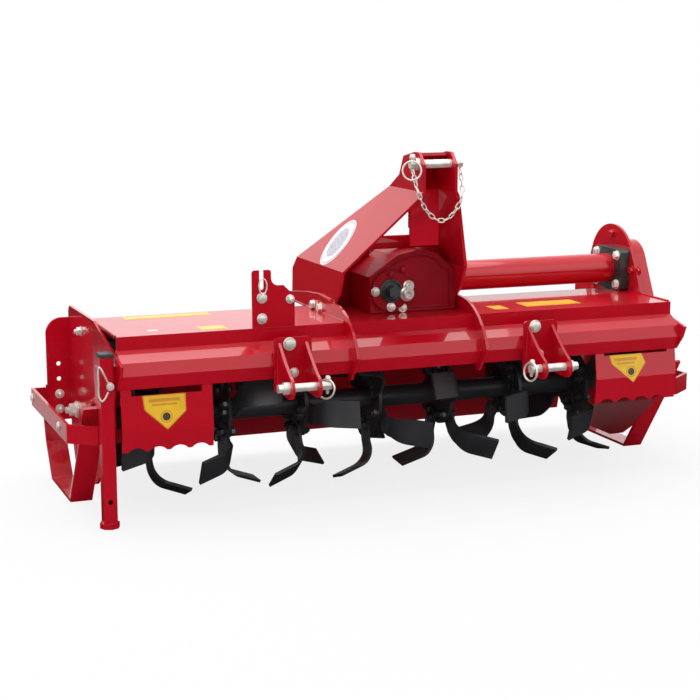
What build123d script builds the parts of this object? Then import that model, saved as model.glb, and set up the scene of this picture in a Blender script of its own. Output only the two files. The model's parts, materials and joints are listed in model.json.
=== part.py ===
from build123d import *
import math
import os

# Rotary tiller for a tractor's three-point hitch, in millimetres.
# X runs across the machine (+X is the driver's right), Y runs towards the rear, Z is up.
# The sizes below count Y from the rotor's axis and Z from the ground. The last section
# moves everything so that the origin lies under the middle of the whole machine.

# ---------------------------------------------------------------- driving sizes
BODY_WIDTH = 1650          # over the outer faces of the two side plates
SIDE_T = 8                 # side plate
SHEET_T = 5                # hood, beam and flap sheet
PLATE_T = 8                # mast, gusset and bracket plate

ROTOR_Z = 235              # height of the rotor's axis
TINE_REACH = 228           # rotor axis to the tines' cutting edge

SIDE_X = BODY_WIDTH / 2    # outer face of a side plate
INNER_X = SIDE_X - SIDE_T  # inner face of a side plate

# front beam and hood
BEAM_TOP_Z = 458
BEAM_BOTTOM_Z = 361
HOOD_TOP_Z = 493
HOOD_FRONT_Y = -210
HOOD_BREAK_Y = 106         # where the flat top turns down
HINGE_Y = 300              # rear flap's hinge
HINGE_Z = 392
HINGE_R = 14
HINGE_ROD_R = 8
PIN_CLEAR = 0.3            # radial gap of a pin in its hole
SEAT_GAP = 0.3             # gap between plates that stand edge to face

# three-point hitch, category 1
HITCH_PIN_R = 11
HITCH_X = 363              # middle of each lower bracket
HITCH_PIN_Y = -350
HITCH_PIN_Z = 357
EAR_SPACING = 74           # ear to ear, centres
EAR_R = 30
TOP_PIN_Y = -356
TOP_PIN_Z = 920
TOP_EAR_R = 30

# mast, gearbox and drive
MAST_TOP_X = 49            # outer face of a cheek
MAST_FOOT_X = 185          # outer face of a lower panel
CHEEK_H = 70               # a cheek's bend to the top link pin
MAST_BEND_TOP_Z = TOP_PIN_Z - CHEEK_H
MAST_BEND_FOOT_Z = 622
SHAFT_Z = 556              # input shaft axis
DRIVE_Y = 100              # cross drive tube axis
DRIVE_R = 44
GEAR_CASE_T = 60

# skids, guard bars and parking leg
SKID_W = 60
SKID_T = 8
SKID_GAP = 10              # side plate to skid
FLANGE_W = 67              # rear flange of a side plate
FLANGE_Y = 350             # rear face of that flange
GUARD_OUT = 110            # side plate to the outer face of a guard bar
GUARD_X = SIDE_X + GUARD_OUT
GUARD_H = 50
GUARD_Z = 209
LEG_W = 36
LEG_WALL = 3
LEG_Y = -220
LEG_TOP_Z = 453
SLIDE_CLEAR = 0.5
BRACKET_WALL = 5
LEG_X = -(SIDE_X + BRACKET_WALL + SLIDE_CLEAR + LEG_W / 2)

parts = {}                 # node name: solid


# ---------------------------------------------------------------- helpers
def prism_x(face, x_low, x_high):
    """A Y-Z face made solid between two X values."""
    return extrude(Plane.YZ.offset(x_low) * face, amount=x_high - x_low)


def prism_y(face, y_low, y_high):
    """An X-Z face made solid between two Y values."""
    plane = Plane(origin=(0, y_low, 0), x_dir=(1, 0, 0), z_dir=(0, -1, 0))
    return extrude(plane * face, amount=-(y_high - y_low))


def prism_z(face, z_low, z_high):
    """An X-Y face made solid between two Z values."""
    return extrude(Plane.XY.offset(z_low) * face, amount=z_high - z_low)


def outline(points):
    """A closed straight-sided face."""
    return make_face(Polyline(*points, close=True))


def strip(points, thickness, radius=None):
    """The edge view of a bent plate: the line of points, thickened to its left."""
    path = FilletPolyline(*points, radius=radius) if radius else Polyline(*points)
    return make_face(offset(path, amount=thickness, side=Side.LEFT))


def disc_x(y, z, radius, x_low, x_high):
    """A round bar along X."""
    return prism_x(Pos(y, z) * Circle(radius), x_low, x_high)


def disc_y(x, z, radius, y_low, y_high):
    """A round bar along Y."""
    return prism_y(Pos(x, z) * Circle(radius), y_low, y_high)


def mirrored(shape):
    """The same piece on the other side of the machine."""
    return mirror(shape, about=Plane.YZ)


# ---------------------------------------------------------------- side plates
SIDE_OUTLINE = [           # y, z
    (-286, 430), (-194, 451), (20, 500), (335, 496), (FLANGE_Y, 480), (FLANGE_Y, 120),
    (300, 28), (105, 28), (40, 47), (-26, 90), (-120, 165), (-190, 235), (-190, 345),
    (-240, BEAM_BOTTOM_Z), (-272, 399)]
FLANGE_HOLES_Z = (197, 241, 285, 329)
FLANGE_LOW_Z = 165
FLANGE_TOP_Z = 462
FLANGE_TOP_R = 45          # rounded outer corners of the flange
FLANGE_LOW_R = 25
FLANGE_HOLE_R = 6.5
SMALL_HOLE_R = 5
SMALL_HOLES = ((328, 353), (328, 280), (10, 254))      # y, z
HUB_BORE_R = 34            # hole that the rotor's stub passes through
STUB_R = 20


def side_plate():
    """The plain plate of the left side, with its outward rear flange."""
    plate = prism_x(outline(SIDE_OUTLINE), -SIDE_X, -INNER_X)
    plate -= disc_x(0, ROTOR_Z, HUB_BORE_R, -SIDE_X, -INNER_X)
    for y, z in SMALL_HOLES:
        plate -= disc_x(y, z, SMALL_HOLE_R, -SIDE_X, -INNER_X)
    flange = Pos(-SIDE_X - FLANGE_W / 2 + SIDE_T / 2, (FLANGE_TOP_Z + FLANGE_LOW_Z) / 2) * Rectangle(
        FLANGE_W + SIDE_T, FLANGE_TOP_Z - FLANGE_LOW_Z)
    low_corner, top_corner = flange.vertices().group_by(Axis.X)[0].sort_by(Axis.Y)
    flange = fillet(low_corner, FLANGE_LOW_R)
    top_corner = flange.vertices().group_by(Axis.X)[0].sort_by(Axis.Y)[-1]
    flange = fillet(top_corner, FLANGE_TOP_R)
    for z in FLANGE_HOLES_Z:
        flange -= Pos(-SIDE_X - FLANGE_W / 2, z) * Circle(FLANGE_HOLE_R)
    return plate + prism_y(flange, FLANGE_Y - SIDE_T, FLANGE_Y)


DOME_Y = DRIVE_Y + 30      # raised part of the right plate, behind the drive tube's flange
DOME_R = 125
DOME_Z = SHAFT_Z + 5
left_plate = side_plate()
dome = make_hull([Pos(DOME_Y, DOME_Z) * Circle(DOME_R).edge(),
                  Line((-60, 470), (300, 470))])
parts["side_plate_left"] = left_plate
parts["side_plate_right"] = mirrored(left_plate) + prism_x(dome, INNER_X, SIDE_X)

# ---------------------------------------------------------------- front beam
BEAM_LINE = [              # y, z
    (-200, BEAM_TOP_Z), (HOOD_FRONT_Y, BEAM_TOP_Z), (-255, 432), (-262, 399),
    (-240, BEAM_BOTTOM_Z), (-200, BEAM_BOTTOM_Z)]
beam_outer = outline(BEAM_LINE)
beam_inner = offset(beam_outer, amount=-SHEET_T, kind=Kind.INTERSECTION)
parts["front_beam"] = prism_x(beam_outer - beam_inner, -INNER_X, INNER_X)

# ---------------------------------------------------------------- hood
FLAP_END_GAP = 37          # side plate to the flap's end
FLAP_HALF = INNER_X - FLAP_END_GAP
HINGE_KNUCKLES = [share * FLAP_HALF for share in (-0.77, -0.26, 0.26, 0.77)]
KNUCKLE_L = 60
HOOD_END = (HINGE_Y - 18, HINGE_Z + 9)
hood_line = [HOOD_END, (HOOD_BREAK_Y, HOOD_TOP_Z), (HOOD_FRONT_Y, HOOD_TOP_Z), (HOOD_FRONT_Y, BEAM_TOP_Z)]
hood = prism_x(strip(hood_line, SHEET_T), -INNER_X, INNER_X)
knuckle_web = outline([HOOD_END, (HOOD_END[0] - 8, HOOD_END[1] - 4), (HINGE_Y - 6, HINGE_Z - 4),
                       (HINGE_Y, HINGE_Z + 8)])
for x in HINGE_KNUCKLES:
    knuckle = prism_x(knuckle_web, x - KNUCKLE_L / 2, x + KNUCKLE_L / 2)
    knuckle += disc_x(HINGE_Y, HINGE_Z, HINGE_R, x - KNUCKLE_L / 2, x + KNUCKLE_L / 2)
    hood += knuckle
hood -= disc_x(HINGE_Y, HINGE_Z, HINGE_ROD_R, -INNER_X, INNER_X)
parts["hood"] = hood
parts["flap_hinge_rod"] = disc_x(HINGE_Y, HINGE_Z, HINGE_ROD_R, -FLAP_HALF, FLAP_HALF)

# ---------------------------------------------------------------- rear flap
FLAP_TOP_GAP = 20          # hinge axis to the top edge of the flap's sheet
FLAP_CREASE = (HINGE_Y + 74, HINGE_Z - 300)
FLAP_EDGE = (HINGE_Y + 82, HINGE_Z - 332)
FLAP_KNUCKLES = [share * FLAP_HALF for share in (-0.86, -0.51, 0, 0.51, 0.86)]
LUG_DOWN = 170             # hinge to the strut's lug, along the flap
LUG_OUT = 45               # and square to it
LUG_T = 10
STRUT_PIN_R = 8
flap_run = Vector(FLAP_CREASE[0] - HINGE_Y, FLAP_CREASE[1] - HINGE_Z).normalized()
flap_out = Vector(-flap_run.Y, flap_run.X)
flap_top = Vector(HINGE_Y, HINGE_Z) + flap_run * FLAP_TOP_GAP
LUG_Y = HINGE_Y + flap_run.X * LUG_DOWN + flap_out.X * LUG_OUT
LUG_Z = HINGE_Z + flap_run.Y * LUG_DOWN + flap_out.Y * LUG_OUT
flap = prism_x(strip([(flap_top.X, flap_top.Y), FLAP_CREASE, FLAP_EDGE], SHEET_T), -FLAP_HALF, FLAP_HALF)
tongue = strip([(HINGE_Y, HINGE_Z), (flap_top.X + flap_run.X, flap_top.Y + flap_run.Y)], SHEET_T)
for x in FLAP_KNUCKLES:
    knuckle = prism_x(tongue, x - KNUCKLE_L / 2, x + KNUCKLE_L / 2)
    knuckle += disc_x(HINGE_Y, HINGE_Z, HINGE_R, x - KNUCKLE_L / 2, x + KNUCKLE_L / 2)
    flap += knuckle
flap -= disc_x(HINGE_Y, HINGE_Z, HINGE_ROD_R + PIN_CLEAR, -FLAP_HALF, FLAP_HALF)
lug_foot = [Vector(HINGE_Y, HINGE_Z) + flap_run * (LUG_DOWN + side * 40) + flap_out * 2 for side in (-1, 1)]
lug = make_hull([Line((lug_foot[0].X, lug_foot[0].Y), (lug_foot[1].X, lug_foot[1].Y)),
                 Pos(LUG_Y, LUG_Z) * Circle(18).edge()])
lug -= Pos(LUG_Y, LUG_Z) * Circle(STRUT_PIN_R + PIN_CLEAR)
flap += prism_x(lug, -LUG_T / 2, LUG_T / 2)
parts["rear_flap"] = flap

# ---------------------------------------------------------------- flap strut
SWIVEL_Y = 282
SWIVEL_Z = 590
SWIVEL_R = 17
SWIVEL_L = 48
SWIVEL_PIN_R = 7
ROD_R = 8
ROD_CLEAR = 1.5
FORK_T = 6
strut_vector = Vector(SWIVEL_Y - LUG_Y, SWIVEL_Z - LUG_Z)
strut_length = strut_vector.length
strut_plane = Plane(origin=(0, LUG_Y, LUG_Z), x_dir=(1, 0, 0),
                    z_dir=(0, strut_vector.X, strut_vector.Y))


def along_strut(radius, low, high):
    """A round piece about the strut's axis, between two distances from its lower pin."""
    return extrude(strut_plane.offset(low) * Circle(radius), amount=high - low)


fork_x = LUG_T / 2 + 1
fork = along_strut(16, 34, 44)
for side in (-1, 1):
    low = fork_x if side > 0 else -fork_x - FORK_T
    cheek = extrude(strut_plane.offset(-16) * Pos(low + FORK_T / 2, 0) * Rectangle(FORK_T, 28), amount=52)
    fork += cheek
strut = fork + disc_x(LUG_Y, LUG_Z, STRUT_PIN_R, -fork_x - FORK_T, fork_x + FORK_T)
strut += along_strut(ROD_R, 40, strut_length + 66)
strut += along_strut(21, 100, 108)
strut += along_strut(14, strut_length + SWIVEL_R + 1, strut_length + SWIVEL_R + 21)
parts["flap_strut"] = strut
parts["strut_spring"] = along_strut(18, 108, 282) - along_strut(ROD_R + 1, 108, 282)
swivel = disc_x(SWIVEL_Y, SWIVEL_Z, SWIVEL_R, -SWIVEL_L / 2, SWIVEL_L / 2)
swivel += disc_x(SWIVEL_Y, SWIVEL_Z, SWIVEL_PIN_R, -SWIVEL_L / 2 - 9.5, SWIVEL_L / 2 + 9.5)
swivel -= along_strut(ROD_R + ROD_CLEAR, strut_length - 30, strut_length + 30)
parts["strut_swivel"] = swivel

# ---------------------------------------------------------------- mast
MAST_REAR_Y = 245
MAST_OUTLINE_LOW = [       # y, z from the front foot, round the rear, to the cheek's top
    (-60, HOOD_TOP_Z), (MAST_REAR_Y, HOOD_TOP_Z), (MAST_REAR_Y - 5, 586), (200, MAST_BEND_FOOT_Z),
    (-164, MAST_BEND_TOP_Z), (-229, TOP_PIN_Z - 35), (-257, TOP_PIN_Z + 16), (-330, TOP_PIN_Z + 30)]
MAST_OUTLINE_FRONT = [     # y, z from the top pin's ear down to the foot
    (TOP_PIN_Y - TOP_EAR_R, TOP_PIN_Z), (-386, MAST_BEND_TOP_Z - 10), (-166, MAST_BEND_FOOT_Z),
    (-134, 556), (-88, 521)]
mast_side = outline(MAST_OUTLINE_LOW + [(TOP_PIN_Y, TOP_PIN_Z + TOP_EAR_R)] + MAST_OUTLINE_FRONT)
mast_side -= Pos(TOP_PIN_Y, TOP_PIN_Z) * Circle(HITCH_PIN_R)
mast_front = strip([(MAST_FOOT_X, HOOD_TOP_Z), (MAST_FOOT_X, MAST_BEND_FOOT_Z), (MAST_TOP_X, MAST_BEND_TOP_Z),
                    (MAST_TOP_X, TOP_PIN_Z + 60)], PLATE_T)
mast_right = prism_y(mast_front, -430, 300) & prism_x(mast_side, 0, 300)
parts["mast_left"] = mirrored(mast_right)
drive_hole = disc_x(DRIVE_Y, SHAFT_Z, DRIVE_R + 1, 100, 300)
parts["mast_right"] = mast_right - drive_hole

CHEEK_INNER_X = MAST_TOP_X - PLATE_T
web_line = [(-175, MAST_BEND_TOP_Z - 150), (-175, MAST_BEND_TOP_Z - 5), (-236, TOP_PIN_Z - 35),
            (-264, TOP_PIN_Z + 12), (-340, TOP_PIN_Z + 25)]
parts["mast_web"] = prism_x(strip(web_line, -PLATE_T), -CHEEK_INNER_X, CHEEK_INNER_X)
BRACE_UP = 78              # foot bend to the brace's lower edge
BRACE_H = 40
BRACE_Y = -20
brace_slope = (MAST_FOOT_X - MAST_TOP_X) / (MAST_BEND_TOP_Z - MAST_BEND_FOOT_Z)
brace_half = MAST_FOOT_X - BRACE_UP * brace_slope - PLATE_T * math.hypot(1, brace_slope) - SEAT_GAP
brace_z = MAST_BEND_FOOT_Z + BRACE_UP
brace_top_half = brace_half - BRACE_H * brace_slope
parts["mast_brace"] = prism_y(outline([(-brace_half, brace_z), (brace_half, brace_z),
                                       (brace_top_half, brace_z + BRACE_H), (-brace_top_half, brace_z + BRACE_H)]),
                              BRACE_Y, BRACE_Y + PLATE_T)
STRUT_PLATE_Z = 545
STRUT_PLATE_H = 80
SWIVEL_LUG_R = 16
plate_top = STRUT_PLATE_Z + STRUT_PLATE_H / 2
strut_bracket = prism_y(Pos(0, STRUT_PLATE_Z) * Rectangle(2 * (MAST_FOOT_X - PLATE_T), STRUT_PLATE_H),
                        MAST_REAR_Y - PLATE_T, MAST_REAR_Y)
swivel_lug = make_hull([(Pos(SWIVEL_Y, SWIVEL_Z) * Circle(SWIVEL_LUG_R)).edge(),
                        Line((MAST_REAR_Y, plate_top - 65), (MAST_REAR_Y, plate_top))])
swivel_lug -= Pos(SWIVEL_Y, SWIVEL_Z) * Circle(SWIVEL_PIN_R + PIN_CLEAR)
lug_x = SWIVEL_L / 2 + 0.5
strut_bracket += prism_x(swivel_lug, lug_x, lug_x + PLATE_T)
strut_bracket += prism_x(swivel_lug, -lug_x - PLATE_T, -lug_x)
parts["strut_bracket"] = strut_bracket
pin_half = MAST_TOP_X + 24
parts["top_link_pin"] = (disc_x(TOP_PIN_Y, TOP_PIN_Z, HITCH_PIN_R, -pin_half, pin_half)
                         + disc_x(TOP_PIN_Y, TOP_PIN_Z, 16, -MAST_TOP_X - 10, -MAST_TOP_X))

# ---------------------------------------------------------------- gussets
GUSSET_NOSE = (-294, 408)  # y, z of the gusset's foremost corner
GUSSET_SIDE = [            # y, z from the nose, under the beam and along the hood to the upper front
    GUSSET_NOSE, (-282, 390), (-244, 342), (-226, 342), (-226, BEAM_BOTTOM_Z), (-240, BEAM_BOTTOM_Z),
    (-262, 399), (-255, 432), (HOOD_FRONT_Y, BEAM_TOP_Z), (HOOD_FRONT_Y, HOOD_TOP_Z), (MAST_REAR_Y, HOOD_TOP_Z),
    (MAST_REAR_Y, 516), (100, 534), (0, 541), (-140, 530)]
gusset_face = make_face([*Polyline(*GUSSET_SIDE).edges(),
                         ThreePointArc(GUSSET_SIDE[-1], (-240, 486), GUSSET_NOSE)])
gusset = prism_x(gusset_face, MAST_FOOT_X, MAST_FOOT_X + PLATE_T)
parts["gusset_left"] = mirrored(gusset)
parts["gusset_right"] = gusset - drive_hole

# ---------------------------------------------------------------- gearbox and drive line
SHAFT_X = -22              # the input shaft stands left of the middle
SHAFT_FRONT_Y = -145
SPLINE_R = 17.4            # 1 3/8 inch shaft with six splines
SPLINE_L = 36
SEAL_R = 26
SEAL_OUT = 3
GEARBOX_LEFT_X = -80
GEARBOX_STEP_X = 0         # left of this the casing is lower and shorter
GEARBOX_FRONT_Y = -105
GEARBOX_STEP_Y = 57
GEARBOX_REAR_Y = 160
BOSS_END_X = MAST_FOOT_X - PLATE_T - 1
CAP_R = 56                 # input bearing's cap
CAP_T = 8
casing_top = [(BOSS_END_X, SHAFT_Z + DRIVE_R), (118, SHAFT_Z + 96), (12, SHAFT_Z + 97)]
casing_face = make_face([
    *Polyline((GEARBOX_STEP_X, SHAFT_Z + 94), (GEARBOX_STEP_X, HOOD_TOP_Z), (BOSS_END_X, HOOD_TOP_Z),
              *casing_top[:2]).edges(),
    ThreePointArc(casing_top[1], (60, SHAFT_Z + 106), casing_top[2]),
    Line(casing_top[2], (GEARBOX_STEP_X, SHAFT_Z + 94))])
side_face = outline([(GEARBOX_STEP_X, SHAFT_Z + 94), (GEARBOX_LEFT_X, SHAFT_Z + 38), (GEARBOX_LEFT_X, HOOD_TOP_Z),
                     (GEARBOX_STEP_X, HOOD_TOP_Z)])
casing = prism_y(casing_face, GEARBOX_FRONT_Y, GEARBOX_REAR_Y)
casing += prism_y(side_face, GEARBOX_FRONT_Y, GEARBOX_STEP_Y)
casing += disc_y(SHAFT_X, SHAFT_Z, CAP_R, GEARBOX_FRONT_Y - CAP_T, GEARBOX_FRONT_Y)
casing -= disc_y(SHAFT_X, SHAFT_Z, SEAL_R + PIN_CLEAR, GEARBOX_FRONT_Y - CAP_T, GEARBOX_FRONT_Y)
parts["gearbox"] = casing
seal_y = GEARBOX_FRONT_Y - CAP_T - SEAL_OUT
input_shaft = disc_y(SHAFT_X, SHAFT_Z, SPLINE_R, SHAFT_FRONT_Y, GEARBOX_FRONT_Y - PIN_CLEAR)
input_shaft += disc_y(SHAFT_X, SHAFT_Z, SEAL_R, seal_y, GEARBOX_FRONT_Y - PIN_CLEAR)
for turn in range(6):
    groove = Pos(SHAFT_X, SHAFT_Z) * Rot(0, 0, turn * 60) * Pos(SPLINE_R, 0) * Rectangle(5, 7)
    input_shaft -= prism_y(groove, SHAFT_FRONT_Y, min(SHAFT_FRONT_Y + SPLINE_L, seal_y - 1))
parts["input_shaft"] = input_shaft
TUBE_WALL = 5
TUBE_FLANGE_W = 155
TUBE_FLANGE_H = 124
TUBE_FLANGE_T = 32
FLANGE_X = INNER_X - TUBE_FLANGE_T
tube = disc_x(DRIVE_Y, SHAFT_Z, DRIVE_R, BOSS_END_X, FLANGE_X)
tube -= disc_x(DRIVE_Y, SHAFT_Z, DRIVE_R - TUBE_WALL, BOSS_END_X, FLANGE_X)
parts["drive_tube"] = tube
parts["tube_flange"] = prism_x(Pos(DRIVE_Y, SHAFT_Z) * RectangleRounded(TUBE_FLANGE_W, TUBE_FLANGE_H, 10),
                               FLANGE_X, INNER_X)
case_side = make_hull([Pos(DRIVE_Y + 15, SHAFT_Z + 4) * Circle(78).edge(), Pos(45, 400) * Circle(85).edge(),
                       Pos(0, ROTOR_Z) * Circle(80).edge()])
case = prism_x(case_side, SIDE_X, SIDE_X + GEAR_CASE_T)
case -= disc_x(0, ROTOR_Z, HUB_BORE_R, SIDE_X, SIDE_X + 30)
parts["gear_case"] = case

# ---------------------------------------------------------------- left bearing
HUB_OUT = 22               # how far the left bearing's boss stands out
hub = disc_x(0, ROTOR_Z, 60, -SIDE_X - 10, -SIDE_X) + disc_x(0, ROTOR_Z, 32, -SIDE_X - HUB_OUT, -SIDE_X)
hub -= disc_x(0, ROTOR_Z, STUB_R + PIN_CLEAR, -SIDE_X - HUB_OUT + 6, -SIDE_X)
parts["bearing_hub_left"] = hub

# ---------------------------------------------------------------- end deflectors
DEFLECTOR_T = 4
DEFLECTOR_LEFT_W = 242
DEFLECTOR_RIGHT_W = 262
DEFLECTOR_LOW_Y = -241
DEFLECTOR_CREASE_Y = -247
DEFLECTOR_TOP_Y = -236
TAB_W = 28                 # a deflector hangs from the beam by a tab at each end
WAVE_PITCH = 56            # lobes along a deflector's lower edge
WAVE_R = 30
WAVE_DEPTH = 10
DEFLECTORS = {             # side: x from, x to, z of the lower edge, of the crease and of the upper edge
    "left": (-INNER_X, -INNER_X + DEFLECTOR_LEFT_W, 199, 251, 344),
    "right": (INNER_X - DEFLECTOR_RIGHT_W, INNER_X, 219, 288, 354),
}
for name, (x_low, x_high, low_z, crease_z, top_z) in DEFLECTORS.items():
    line = [(DEFLECTOR_LOW_Y, low_z), (DEFLECTOR_CREASE_Y, crease_z), (DEFLECTOR_TOP_Y, BEAM_BOTTOM_Z + 4)]
    deflector = prism_x(strip(line, DEFLECTOR_T), x_low, x_high)
    deflector -= prism_y(Pos((x_low + x_high) / 2, BEAM_BOTTOM_Z + 9.6) * Rectangle(600, 20), -260, -230)
    deflector -= prism_y(Pos((x_low + x_high) / 2, (top_z + BEAM_BOTTOM_Z) / 2)
                         * Rectangle(x_high - x_low - 2 * TAB_W, BEAM_BOTTOM_Z - top_z), -260, -230)
    for step in range(int((x_high - x_low) / WAVE_PITCH)):
        deflector -= disc_y(x_low + (step + 0.7) * WAVE_PITCH, low_z + WAVE_DEPTH - WAVE_R, WAVE_R, -260, -230)
    parts["deflector_" + name] = deflector

# ---------------------------------------------------------------- skids
SKID_LINE = [              # y, z along the strip's lower face, from the front end
    (-155, 300), (-80, 184), (50, 0), (310, 0), (385, 95), (408, 160), (358, 205), (358, 268)]
skid_in = SIDE_X + SKID_GAP
skid = prism_x(strip(SKID_LINE, SKID_T), skid_in, skid_in + SKID_W)
skid += prism_x(outline([(-153, 298), (-147, 303), (-112, 250), (-118, 246)]), SIDE_X, skid_in)
parts["skid_right"] = skid
parts["skid_left"] = mirrored(skid)

# ---------------------------------------------------------------- guard bars
GUARD_T = 8
guard_line = [(SIDE_X, -184), (SIDE_X + 40, -184), (GUARD_X, -130), (GUARD_X, FLANGE_Y + 16),
              (SIDE_X + 20, FLANGE_Y + 16)]
guard = prism_z(strip(guard_line, GUARD_T), GUARD_Z, GUARD_Z + GUARD_H)
parts["guard_bar_right"] = guard
parts["guard_bar_left"] = mirrored(guard)

# ---------------------------------------------------------------- parking leg
leg = prism_z(Pos(LEG_X, LEG_Y) * RectangleRounded(LEG_W, LEG_W, 4), 0, LEG_TOP_Z)
leg -= prism_z(Pos(LEG_X, LEG_Y) * Rectangle(LEG_W - 2 * LEG_WALL, LEG_W - 2 * LEG_WALL), LEG_WALL,
               LEG_TOP_Z - LEG_WALL)
leg += prism_z(Pos(LEG_X, LEG_Y) * RegularPolygon(26, 8), 0, 14)
leg -= disc_y(LEG_X, 71, 6, LEG_Y - 30, LEG_Y)
leg += disc_y(LEG_X, 375, 8, LEG_Y - LEG_W / 2 - 12, LEG_Y - LEG_W / 2)
parts["parking_leg"] = leg
bracket_in = LEG_W / 2 + SLIDE_CLEAR
bracket = prism_z(Pos(LEG_X, LEG_Y) * Rectangle(2 * (bracket_in + BRACKET_WALL), 2 * (bracket_in + BRACKET_WALL)),
                  338, 422)
bracket -= prism_z(Pos(LEG_X, LEG_Y - 20) * Rectangle(2 * bracket_in, 2 * bracket_in + 40), 338, 422)
bracket -= prism_z(Pos(LEG_X, LEG_Y - LEG_W / 2) * Rectangle(100, LEG_W / 2), 338, 422)
parts["leg_bracket"] = bracket

# ---------------------------------------------------------------- lower hitch brackets
BACK_PLATE_Y = -268
BACK_PLATE_W = 104
BACK_PLATE_T = 6
BACK_PLATE_TOP_Z = 474
BACK_PLATE_LOW_Z = 328
EAR_TOP_Z = 460
BULGE = (-306, 425)        # y, z on the curved front edge of an ear
pin_face = Pos(HITCH_PIN_Y, HITCH_PIN_Z) * Circle(EAR_R)
ear = make_face([ThreePointArc((BACK_PLATE_Y, EAR_TOP_Z), BULGE, (HITCH_PIN_Y - 22, HITCH_PIN_Z + 20)),
                 *Polyline((HITCH_PIN_Y - 22, HITCH_PIN_Z + 20), (HITCH_PIN_Y, HITCH_PIN_Z - EAR_R),
                           (BACK_PLATE_Y, BACK_PLATE_LOW_Z + 4), (BACK_PLATE_Y, EAR_TOP_Z)).edges()])
ear = ear + pin_face - Pos(HITCH_PIN_Y, HITCH_PIN_Z) * Circle(HITCH_PIN_R)
back_face = Pos(0, (BACK_PLATE_TOP_Z + BACK_PLATE_LOW_Z) / 2) * RectangleRounded(
    BACK_PLATE_W, BACK_PLATE_TOP_Z - BACK_PLATE_LOW_Z, 12)
HEAD_IN = 41               # from the middle of a bracket to its pin's head, which is on the outer side
HEAD_T = 15
PIN_HEAD_END = 70          # from the middle to the two ends of the pin
PIN_CLIP_END = 74
for name, middle, outer in (("left", -HITCH_X, -1), ("right", HITCH_X, 1)):
    bracket = prism_y(Pos(middle, 0) * back_face, BACK_PLATE_Y, BACK_PLATE_Y + BACK_PLATE_T)
    for side in (-1, 1):
        at = middle + side * EAR_SPACING / 2
        bracket += prism_x(ear, at - PLATE_T / 2, at + PLATE_T / 2)
    parts["hitch_bracket_" + name] = bracket
    pin = disc_x(HITCH_PIN_Y, HITCH_PIN_Z, HITCH_PIN_R, -PIN_CLIP_END, PIN_HEAD_END)
    pin += disc_x(HITCH_PIN_Y, HITCH_PIN_Z, 16, HEAD_IN, HEAD_IN + HEAD_T)
    parts["hitch_pin_" + name] = Pos(middle, 0, 0) * (pin if outer > 0 else mirrored(pin))

# ---------------------------------------------------------------- drive shaft rest
HOOK_X = -427              # middle of the slot
HOOK_TOP_Z = 645
HOOK_SLOT = 13
HOOK_SLOT_Z = 600
HOOK_BOLTS_Z = (572, 517)
HOOK_Y = HOOD_FRONT_Y + 3
HOOK_T = 6
hook_face = make_face([
    *Polyline((HOOK_X + 91, HOOD_TOP_Z), (HOOK_X - 26, HOOD_TOP_Z), (HOOK_X - 26, HOOK_TOP_Z - 8)).edges(),
    ThreePointArc((HOOK_X - 26, HOOK_TOP_Z - 8), (HOOK_X - 24, HOOK_TOP_Z - 2), (HOOK_X - 18, HOOK_TOP_Z)),
    Line((HOOK_X - 18, HOOK_TOP_Z), (HOOK_X + 18, HOOK_TOP_Z)),
    ThreePointArc((HOOK_X + 18, HOOK_TOP_Z), (HOOK_X + 24, HOOK_TOP_Z - 2), (HOOK_X + 26, HOOK_TOP_Z - 8)),
    Line((HOOK_X + 26, HOOK_TOP_Z - 8), (HOOK_X + 26, HOOK_TOP_Z - 22)),
    ThreePointArc((HOOK_X + 26, HOOK_TOP_Z - 22), (HOOK_X + 32, HOOK_TOP_Z - 36), (HOOK_X + 45, HOOK_TOP_Z - 42)),
    *Polyline((HOOK_X + 45, HOOK_TOP_Z - 42), (HOOK_X + 60, HOOK_TOP_Z - 42), (HOOK_X + 77, HOOK_TOP_Z - 58),
              (HOOK_X + 91, HOOK_TOP_Z - 68), (HOOK_X + 91, HOOD_TOP_Z)).edges()])
hook_face -= Pos(HOOK_X, HOOK_TOP_Z) * Rectangle(HOOK_SLOT, 2 * (HOOK_TOP_Z - HOOK_SLOT_Z))
hook_face -= Pos(HOOK_X, HOOK_SLOT_Z) * Circle(HOOK_SLOT / 2)
for z in HOOK_BOLTS_Z:
    hook_face -= Pos(HOOK_X, z) * Circle(7)
parts["shaft_hook"] = prism_y(hook_face, HOOK_Y, HOOK_Y + HOOK_T)

# ---------------------------------------------------------------- top link pin's chain
LINK_L = 22                # one link, outside
LINK_W = 13
LINK_T = 3
LINK_PITCH = 15.6
CHAIN_ROUTE = [            # x, y, z from the pin's left end, down across the mast and up to its right end
    (-67, -360, 905.8), (-66, -378, 872), (-62, -388, 848), (-46, -389, 812), (-20, -389, 784), (4, -389, 776),
    (27, -389, 785), (50, -389, 812), (61, -389, 840), (65, -376, 870), (67, -360, 905.8)]
route = Spline(*CHAIN_ROUTE)
link_count = int(route.length / LINK_PITCH)
chain = None
for number in range(link_count):
    share = (number + 0.5) / link_count
    across = (1, 0, 0) if abs((route % share).X) < 0.7 else (0, 1, 0)
    along = route % share
    stand = Plane(origin=route @ share, x_dir=along, z_dir=along.cross(Vector(*across)))
    link = SlotOverall(LINK_L, LINK_W) - SlotOverall(LINK_L - 2 * LINK_T, LINK_W - 2 * LINK_T)
    link = Rot(90 * (number % 2), 0, 0) * extrude(link, amount=LINK_T / 2, both=True)
    chain = stand * link if chain is None else chain + stand * link
parts["pin_chain"] = chain

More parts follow.
